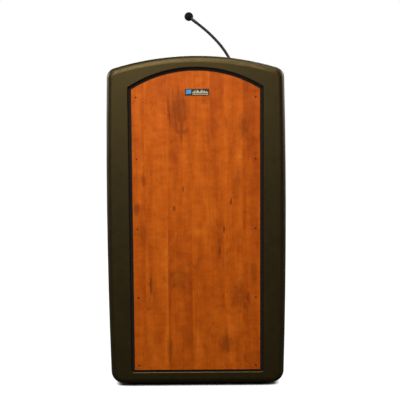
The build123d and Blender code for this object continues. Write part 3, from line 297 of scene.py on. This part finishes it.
def rubber(name, base, lighter, rough=0.72):
    """Soft rubber: dull, with a dusty bloom and a slightly pebbled skin."""
    material, tree, shader, place = finish_of(name, IOR=1.52, Specular_IOR_Level=0.35)
    bloom = add(tree, "TexNoise", {"Vector": place, "Scale": per(7), "Detail": 4, "Roughness": 0.7})
    shade = add(tree, "ValToRGB", {"Fac": bloom}, stops=[(0.35, colour(base)), (0.75, colour(lighter))])
    dull = add(tree, "MapRange", {"Value": bloom, "From Min": 0.3, "From Max": 0.7,
                                  "To Min": rough - 0.08, "To Max": rough + 0.08})
    pebbles = add(tree, "TexNoise", {"Vector": place, "Scale": per(0.7), "Detail": 1})
    pebbled = add(tree, "Bump", {"Height": pebbles, "Distance": 0.03 * MM})
    feed(tree, shader, {"Base Color": shade, "Roughness": dull, "Normal": pebbled})
    return material


def open_cell_foam():
    """Black open-cell polyurethane foam: no gloss, with pores about a millimetre across."""
    material, tree, shader, place = finish_of(
        "moulded open-cell foam", Roughness=1.0, Specular_IOR_Level=0.1)
    cells = add(tree, "TexVoronoi", {"Vector": place, "Scale": per(1.1)}, feature="F1")
    shade = add(tree, "ValToRGB", {"Fac": cells}, stops=[
        (0.15, colour("#040404")), (0.6, colour("#191916"))])
    open_pores = add(tree, "Bump", {"Height": cells, "Distance": 0.5 * MM})
    feed(tree, shader, {"Base Color": shade, "Normal": open_pores})
    return material


def enamel(name, base, lighter, rough=0.28):
    """Stoved enamel or printed ink on a small plate: even, lightly clouded, with a clear soft gloss."""
    material, tree, shader, place = finish_of(name, IOR=1.52, Coat_Weight=0.3, Coat_Roughness=0.2)
    cloudy = add(tree, "TexNoise", {"Vector": place, "Scale": per(5), "Detail": 3, "Roughness": 0.6})
    shade = add(tree, "ValToRGB", {"Fac": cloudy}, stops=[(0.3, colour(base)), (0.7, colour(lighter))])
    dull = add(tree, "MapRange", {"Value": cloudy, "From Min": 0.3, "From Max": 0.7,
                                  "To Min": rough - 0.05, "To Max": rough + 0.06})
    flow = add(tree, "TexNoise", {"Vector": place, "Scale": per(2), "Detail": 1})
    flowed = add(tree, "Bump", {"Height": flow, "Distance": 0.01 * MM})
    feed(tree, shader, {"Base Color": shade, "Roughness": dull, "Normal": flowed})
    return material


laminate_upright = cherry_laminate(
    "pressed cherry laminate, grain upright", "XYZ", PANEL_SMOKE, PANEL_ARCHES)
laminate_across = cherry_laminate("pressed cherry laminate, grain across", "YZX")
finishes = {
    "moulded_shell": moulded_polyethylene(),
    # a dark brown strip with a faint pebble, duller than the laminate that it edges
    "laminate_edge": moulded_plastic("extruded ABS edging", "#3b1c0a", "#4c260f", 0.45, 1.2, 0.02),
    # heads that are nearly black, with one soft highlight
    "black_screw": coated_metal("forged steel, black oxide", "#030303", "#0a0907", 0.5),
    # warm yellow metal with turning lines
    "brass_insert": plated_metal("turned brass", "#8a6a2c", "#b8944a", 0.35),
    # cool grey metal, clouded by its passivation
    "zinc_steel": plated_metal("pressed steel, zinc plated", "#8b8d8c", "#c1c3c0", 0.34),
    # a dark grey-green field under the printed figure
    "badge_enamel": enamel("enamelled aluminium plate", "#20281f", "#2c352b"),
    # dull black edges behind the plate
    "adhesive_foam": rubber("die-cut foam tape", "#0d0d0d", "#191919", 0.9),
    # a matt black strip all round the panel, put in the gap there as painted shade: it stands for the shadow in
    # that gap
    "seal_rubber": rubber("extruded rubber strip", "#050505", "#0c0c0c", 0.85),
    "birch_ply": birch_plywood(),
    # almost black hubs with a soft sheen
    "wheel_nylon": moulded_plastic("moulded nylon hub", "#161617", "#232324", 0.42, 0.9, 0.02),
    # dull mid-grey treads that leave no marks on a floor
    "wheel_tyre": rubber("moulded grey tread rubber", "#3a3b3c", "#505151"),
    # a warning red that a foot finds in the shadow under the cabinet
    "pedal_plastic": moulded_plastic("moulded red nylon", "#7d1410", "#92201a", 0.36),
    # a near-black film with one long soft highlight on each turn of the winding
    "neck_black": coated_metal("wound steel, satin black paint", "#040403", "#0a0906", 0.45, 0.22),
    # a hard, even black with small bright edges
    "capsule_black": coated_metal("turned aluminium, black anodised", "#08080a", "#141416", 0.3),
    "windscreen_foam": open_cell_foam(),
    # soft black that drinks the light where the neck enters the desk
    "bush_rubber": rubber("moulded rubber bush", "#0c0c0c", "#1a1a1a"),
    # smooth black with a longer highlight than rubber has
    "lead_jacket": rubber("extruded PVC jacket", "#0d0d0e", "#1b1b1d", 0.5),
    # small black saddles with a faint grain
    "clip_nylon": moulded_plastic("moulded nylon clip", "#0f0f10", "#1b1b1c", 0.45),
    # a plain black box with a fine grain that hides fingerprints
    "box_plastic": moulded_plastic("moulded ABS box", "#121213", "#1e1e1f", 0.5),
    # an even, slightly pebbled black
    "output_steel": coated_metal("pressed steel, powder coated", "#0f0f10", "#1c1c1d", 0.45),
    # a darker, warmer grey than zinc, bright on its rims
    "socket_metal": plated_metal("die-cast zinc, nickel plated", "#4c4d4f", "#7e8082", 0.3),
}


def dress(piece, material):
    """Gives a piece one material all over."""
    piece.data.materials.clear()
    piece.data.materials.append(material)


def dress_cad_nodes():
    """Every carried-over CAD node takes the finish of its slot."""
    for entry in frame["record"]["subparts"]:
        name, slot = entry["node"], entry["material_slot"]
        if slot == "cherry_laminate":
            dress(nodes[name], laminate_upright if name == "front_panel" else laminate_across)
        else:
            dress(nodes[name], finishes[slot])


# ---- making meshes ----------------------------------------------------------------------
def spokes(across, up, sides):
    """Unit directions all the way round, in the plane of two directions."""
    angles = [TURN * side / sides for side in range(sides)]
    return [across * math.cos(angle) + up * math.sin(angle) for angle in angles]


def walls(rings, sides):
    """Four-sided faces between rings of points that follow one another."""
    faces = []
    for ring in range(rings - 1):
        for side in range(sides):
            a, b = ring * sides + side, ring * sides + (side + 1) % sides
            faces.append((a, b, b + sides, a + sides))
    return faces


def turned(origin, axis, profile, sides=48):
    """Points and faces of a closed lathe shape: profile is (along, radius) from end to end."""
    across = axis.orthogonal().normalized()
    around = spokes(across, axis.cross(across), sides)
    vertices = [origin + axis * along + spoke * radius for along, radius in profile for spoke in around]
    faces = walls(len(profile), sides)
    for ring in (0, len(profile) - 1):
        vertices.append(origin + axis * profile[ring][0])
        for side in range(sides):
            a, b = ring * sides + side, ring * sides + (side + 1) % sides
            faces.append((b, a, len(vertices) - 1))
    return vertices, faces


def tube(frames, radii, sides=28):
    """Points and faces of a tube with closed ends."""
    vertices = [point + spoke * radius for (point, across, up), radius in zip(frames, radii)
                for spoke in spokes(across, up, sides)]
    faces = walls(len(frames), sides)
    faces.append(tuple(range(sides)))
    faces.append(tuple(reversed(range(len(vertices) - sides, len(vertices)))))
    return vertices, faces


def piece_from(name, vertices, faces, material, body, smooth=True, crease=None):
    """A mesh piece that rides on a body. Edges sharper than crease, in degrees, stay sharp."""
    mesh = bpy.data.meshes.new(name)
    mesh.from_pydata([tuple(v) for v in vertices], [], faces)
    mesh.update()
    shape = bmesh.new()
    shape.from_mesh(mesh)
    bmesh.ops.remove_doubles(shape, verts=shape.verts, dist=SAME_POINT)
    bmesh.ops.recalc_face_normals(shape, faces=shape.faces)
    if crease is not None:
        for edge in shape.edges:
            edge.smooth = edge.calc_face_angle(0.0) <= math.radians(crease)
    shape.to_mesh(mesh)
    shape.free()
    mesh.polygons.foreach_set("use_smooth", [smooth] * len(mesh.polygons))
    piece = bpy.data.objects.new(name, mesh)
    bpy.context.scene.collection.objects.link(piece)
    dress(piece, material)
    if body is not None:
        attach(piece, body)
    return piece


# ---- gooseneck microphone ------------------------------------------------------------------
NECK_RADIUS = 5.3 * MM
NECK_FOOT = 12 * MM         # the winding starts this far below the first joint, inside the stem
RIB_PITCH = 3.0 * MM
RIB_DEPTH = 0.35 * MM
RIB_STEPS = 6               # rings of points in one turn of the winding
CURVE_STEPS = 60            # points of the neck's curve from one joint to the next
CURVE_LEAD = 40 * MM        # straight lead at both ends that sets the curve's direction there
CAPSULE_RADIUS = 6.0 * MM
CAPSULE_OVERLAP = 2 * MM    # the capsule's ferrule reaches this far back over the neck
neck_joints = [f"neck_bend_{number}" for number in range(1, 7)]
pivots = [Vector(joints[name]["pos_m"]) for name in neck_joints]
stem_axis = Vector(mounts["desk_surface"]["axis"])


def capsule_axis():
    """Start, end and direction of the capsule's housing, in line with the last link."""
    points = [v.co for v in nodes["mic_capsule"].data.vertices]
    middle = sum(points, Vector()) / len(points)
    along = (middle - pivots[-1]).normalized()
    reach = [(p - pivots[-1]).dot(along) for p in points]
    return pivots[-1] + along * min(reach), pivots[-1] + along * max(reach), along


def neck_curve():
    """The neck's centre line as a smooth spline through its joints, sampled finely."""
    start, _, along = capsule_axis()
    stops = [pivots[0] - stem_axis * CURVE_LEAD, *pivots, start, start + along * CURVE_LEAD]
    line = [pivots[0] - stem_axis * NECK_FOOT]
    for before, a, b, after in zip(stops, stops[1:], stops[2:], stops[3:]):
        lean_a, lean_b = (b - before) / 2, (after - a) / 2
        for step in range(CURVE_STEPS):
            t = step / CURVE_STEPS
            line.append(a * (2 * t**3 - 3 * t**2 + 1) + b * (3 * t**2 - 2 * t**3)
                        + lean_a * (t**3 - 2 * t**2 + t) + lean_b * (t**3 - t**2))
    line.append(start)
    return line


def ring_frames(line):
    """Each point of a line with a pair of directions across it that never twist."""
    across = Vector((1, 0, 0))
    frames = []
    for number, point in enumerate(line):
        ahead = line[min(number + 1, len(line) - 1)] - line[max(number - 1, 0)]
        ahead.normalize()
        across = (across - ahead * across.dot(ahead)).normalized()
        frames.append((point, across, ahead.cross(across)))
    return frames


def resampled(line, pitch):
    """Points at an even pitch along a line, with the distance of each from its start."""
    run, points = 0.0, [(0.0, line[0].copy())]
    for a, b in zip(line, line[1:]):
        length = (b - a).length
        while points[-1][0] + pitch <= run + length:
            wanted = points[-1][0] + pitch
            points.append((wanted, a + (b - a) * ((wanted - run) / length)))
        run += length
    return points, run


def make_neck():
    """The spiral-wound neck, in one length around each joint."""
    points, whole = resampled(neck_curve(), RIB_PITCH / RIB_STEPS)
    frames = ring_frames([point for _, point in points])
    distances = [distance for distance, _ in points]
    at_pivot = []
    for pivot in pivots:
        nearest = min(range(len(points)), key=lambda n: (points[n][1] - pivot).length)
        at_pivot.append(distances[nearest])
    cuts = [0.0] + [(a + b) / 2 for a, b in zip(at_pivot, at_pivot[1:])] + [whole]
    for number, (low, high) in enumerate(zip(cuts, cuts[1:])):
        high += RIB_PITCH / RIB_STEPS
        chosen = [n for n, d in enumerate(distances) if low - SAME_POINT <= d <= high + SAME_POINT]
        radii = []
        for n in chosen:
            crown = 0.5 - 0.5 * math.cos(TURN * distances[n] / RIB_PITCH)
            radii.append(NECK_RADIUS - RIB_DEPTH * (1 - crown) ** 2)
        vertices, faces = tube([frames[n] for n in chosen], radii)
        piece = piece_from(f"neck_spiral_{number + 1}", vertices, faces, finishes["neck_black"], None)
        foot, pivot, head = frames[chosen[0]][0], pivots[number], frames[chosen[-1]][0]
        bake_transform(piece)
        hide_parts(f"neck_link_{number + 1}")


def make_capsule():
    """Turned housing of the microphone capsule: a ferrule, two grooves and a plain barrel."""
    start, end, along = capsule_axis()
    barrel, length, back = CAPSULE_RADIUS / MM, (end - start).length / MM, -CAPSULE_OVERLAP / MM
    groove = barrel - 0.5
    profile = [(back, NECK_RADIUS / MM), (back, barrel - 0.3), (back + 0.4, barrel), (3, barrel),
               (3.3, groove), (4.1, groove), (4.4, barrel), (6.6, barrel), (6.9, groove), (7.7, groove),
               (8, barrel), (20, barrel), (length - 1.2, barrel), (length - 0.4, barrel - 0.4),
               (length, barrel - 1.1)]
    vertices, faces = turned(start, along, [(reach * MM, radius * MM) for reach, radius in profile])
    piece = piece_from("capsule_housing", vertices, faces, finishes["capsule_black"], "neck_6",
                       crease=28)
    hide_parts("mic_capsule")


FOAM_RINGS, FOAM_SIDES = 56, 72
FOAM_TRIM = 0.25 * MM       # kept back from the full radius, so that the lumps stay inside it
FOAM_LUMPS = ((3.1, 0.22 * MM), (19, 0.10 * MM))     # how many to a radius, and how high
MOUTH_PLAY = 0.6 * MM       # how much wider the ball's mouth is than the housing
MOUTH_DEPTH = 1.4 * MM      # how far the foam turns in at the mouth


def make_windscreen():
    """Slip-on foam ball: not quite round, drawn in where its mouth grips the housing."""
    low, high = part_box("windscreen")
    centre, radius = (low + high) / 2, (high.x - low.x) / 2
    _, _, along = capsule_axis()
    across = along.orthogonal().normalized()
    around = spokes(across, along.cross(across), FOAM_SIDES)
    first = math.asin((CAPSULE_RADIUS + MOUTH_PLAY) / radius)
    vertices = []
    for ring in range(FOAM_RINGS + 1):
        polar = first + (math.pi - first) * ring / FOAM_RINGS
        for spoke in around:
            out = spoke * math.sin(polar) - along * math.cos(polar)
            lumps = sum(noise.noise(out * count) * high for count, high in FOAM_LUMPS)
            vertices.append(centre + out * (radius - FOAM_TRIM + lumps))
    faces = walls(FOAM_RINGS + 1, FOAM_SIDES)
    lip = len(vertices)
    inset = centre - along * (radius * math.cos(first) - MOUTH_DEPTH)
    vertices += [inset + spoke * CAPSULE_RADIUS for spoke in around]
    for side in range(FOAM_SIDES):
        ahead = (side + 1) % FOAM_SIDES
        faces.append((side, lip + side, lip + ahead, ahead))
    faces.append(tuple(range(lip, lip + FOAM_SIDES)))
    piece = piece_from("foam_windscreen", vertices, faces, finishes["windscreen_foam"], "neck_6")
    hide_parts("windscreen")


# ---- badge ---------------------------------------------------------------------------------
BADGE_BARS = (5, 9, 13, 8, 15, 11, 6, 12, 16, 9, 13, 7, 10, 5)     # heights of the sound-level bars
BAR_UNIT = 0.8 * MM         # height of a bar for each step of its level
BAR_SHARE = 0.62            # width of a bar as a share of the pitch
BAR_FOOT = 4.5 * MM         # the bars stand this far below the middle of the plate
PRINT_LEAN = 1 * MM         # how far the top of a bar leans to the right of its foot
INK = 0.12 * MM
BADGE_MARGIN = 3 * MM
BLOCK_LENGTH = 18 * MM
BLOCK_FOOT = 6 * MM         # the block starts this far below the middle of the plate
BLOCK_GAP = 5 * MM
RULE_LOW, RULE_HIGH = 2.6 * MM, 4 * MM               # edges of the rule above the plate's foot


def make_badge():
    """Printed face of the small plate: a blue block, a row of sound-level bars and a fine rule."""
    low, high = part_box("badge_plate")
    face, middle = low.y, (low.z + high.z) / 2
    blue = enamel("screen-printed ink, blue", "#2f7fc8", "#4a9be0", 0.35)
    cream = enamel("screen-printed ink, cream", "#cfc7ae", "#e2dcc6", 0.35)

    def patch(name, x_low, x_high, z_low, z_high, material, lean=0.0):
        outline = [(x_low, z_low), (x_high, z_low), (x_high + lean, z_high), (x_low + lean, z_high)]
        vertices = [(x, face - INK * out, z) for out in (0, 1) for x, z in outline]
        faces = [(3, 2, 1, 0), (4, 5, 6, 7)] + [(n, (n + 1) % 4, (n + 1) % 4 + 4, n + 4) for n in range(4)]
        piece_from(name, vertices, faces, material, "cabinet", smooth=False)

    left, right = low.x + BADGE_MARGIN, high.x - BADGE_MARGIN
    patch("badge_block", left, left + BLOCK_LENGTH, middle - BLOCK_FOOT, high.z - BADGE_MARGIN, blue,
          2 * PRINT_LEAN)
    start = left + BLOCK_LENGTH + BLOCK_GAP
    pitch = (right - start) / len(BADGE_BARS)
    foot = middle - BAR_FOOT
    for number, bar in enumerate(BADGE_BARS):
        x = start + pitch * number
        patch(f"badge_bar_{number + 1}", x, x + pitch * BAR_SHARE, foot, foot + bar * BAR_UNIT, cream,
              PRINT_LEAN)
    patch("badge_rule", start, right, low.z + RULE_LOW, low.z + RULE_HIGH, cream)


# ---- floor, light and camera ----------------------------------------------------------------
FLOOR_REACH = 30.0          # metres from the middle to each edge of the floor
CONTACT_REACH = 0.25        # metres within which something overhead fades the floor's glow: a painted contact shadow


def make_floor():
    """A plain pale floor that glows white to the camera in the open, with a painted contact shadow in the gap
    under the cabinet, where the glow fades as ambient occlusion finds something overhead.
    """
    corners = [(x * FLOOR_REACH, y * FLOOR_REACH, 0) for x, y in ((-1, -1), (1, -1), (1, 1), (-1, 1))]
    mesh = bpy.data.meshes.new("floor")
    mesh.from_pydata(corners, [], [(0, 1, 2, 3)])
    floor = bpy.data.objects.new("floor", mesh)
    bpy.context.scene.collection.objects.link(floor)
    material, tree, shader, _ = finish_of(
        "pale floor", Base_Color=grey(0.06), Roughness=1.0, Specular_IOR_Level=0.0)
    # painted contact shadow: the floor's glow is cut where ambient occlusion finds the cabinet overhead
    openness = add(tree, "AmbientOcclusion", {"Distance": CONTACT_REACH}, out="AO", samples=16)
    openness = add(tree, "MapRange", {"Value": openness, "From Min": 0.25, "From Max": 0.45},
                   interpolation_type="SMOOTHSTEP")
    glow = add(tree, "Emission", {"Color": grey(1.0), "Strength": openness})
    seen = add(tree, "LightPath", out="Is Camera Ray")
    lit = add(tree, "AddShader", {0: shader.outputs[0], 1: glow})
    cover = add(tree, "MixShader", {0: seen, 1: shader.outputs[0], 2: lit})
    feed(tree, tree.nodes["Material Output"], {"Surface": cover})
    floor.data.materials.append(material)


def softbox(name, place, target, size, power, tint="#ffffff"):
    """A large soft area light that looks at a point."""
    light = bpy.data.lights.new(name, "AREA")
    light.shape = "RECTANGLE"
    light.size, light.size_y = size
    light.energy, light.color = power, colour(tint)[:3]
    lamp = bpy.data.objects.new(name, light)
    lamp.location = place
    lamp.rotation_euler = (Vector(target) - Vector(place)).to_track_quat("-Z", "Y").to_euler()
    bpy.context.scene.collection.objects.link(lamp)


def make_light():
    """Soft light from above and in front, weaker boxes beside and behind, and a faint fill all round."""
    world = bpy.data.worlds.new("studio")
    bpy.context.scene.world = world
    world.use_nodes = True
    tree = world.node_tree
    seen = add(tree, "LightPath", out="Is Camera Ray")
    fill = add(tree, "Mix", {0: seen, 6: grey(0.04), 7: grey(1.0)}, out=2, data_type="RGBA")
    feed(tree, tree.nodes["Background"], {"Color": fill})
    softbox("key", (-0.5, -1.9, 2.9), (0, -0.2, 0.9), (1.6, 0.9), 40, "#fff4e2")
    softbox("top", (0.2, -0.9, 3.2), (0, -0.2, 0.9), (2.0, 1.0), 30, "#fff4e2")
    softbox("front", (-0.7, -3.6, 2.3), (0, -0.2, 0.8), (1.6, 1.2), 80, "#fff6e8")
    softbox("rear", (1.6, 2.8, 2.8), (0, 0.1, 0.8), (2.0, 1.6), 80)
    softbox("bay", (-0.6, 3.6, 1.5), (0, 0, 0.6), (1.6, 1.6), 60)
    for name, side in (("left side", -1), ("right side", 1)):
        softbox(name, (3.2 * side, 0.9, 1.9), (0, 0, 0.6), (1.4, 1.8), 75)


CAMERA_PLACE = (0.0, -4.460, 1.2298)
CAMERA_PITCH = 7.4          # degrees down
CAMERA_ROLL = 0.42          # degrees
CAMERA_LENS = 106.74        # millimetres
SENSOR_WIDTH = 36           # millimetres
FRAMING_SHIFT = 0.0091      # the lectern stands this share of the width left of the centre


def make_camera():
    """The camera, level with the crest, and colours shown as they are."""
    data = bpy.data.cameras.new("camera")
    data.lens, data.sensor_width = CAMERA_LENS, SENSOR_WIDTH
    data.shift_x = FRAMING_SHIFT
    camera = bpy.data.objects.new("camera", data)
    bpy.context.scene.collection.objects.link(camera)
    pitch = Matrix.Rotation(math.radians(90 - CAMERA_PITCH), 4, "X")
    roll = Matrix.Rotation(math.radians(-CAMERA_ROLL), 4, "Z")
    camera.matrix_world = Matrix.Translation(CAMERA_PLACE) @ pitch @ roll
    bpy.context.scene.camera = camera
    bpy.context.scene.view_settings.view_transform = "Standard"


make_camera()
dress_cad_nodes()
make_neck()
make_capsule()
make_windscreen()
make_badge()
make_floor()
make_light()
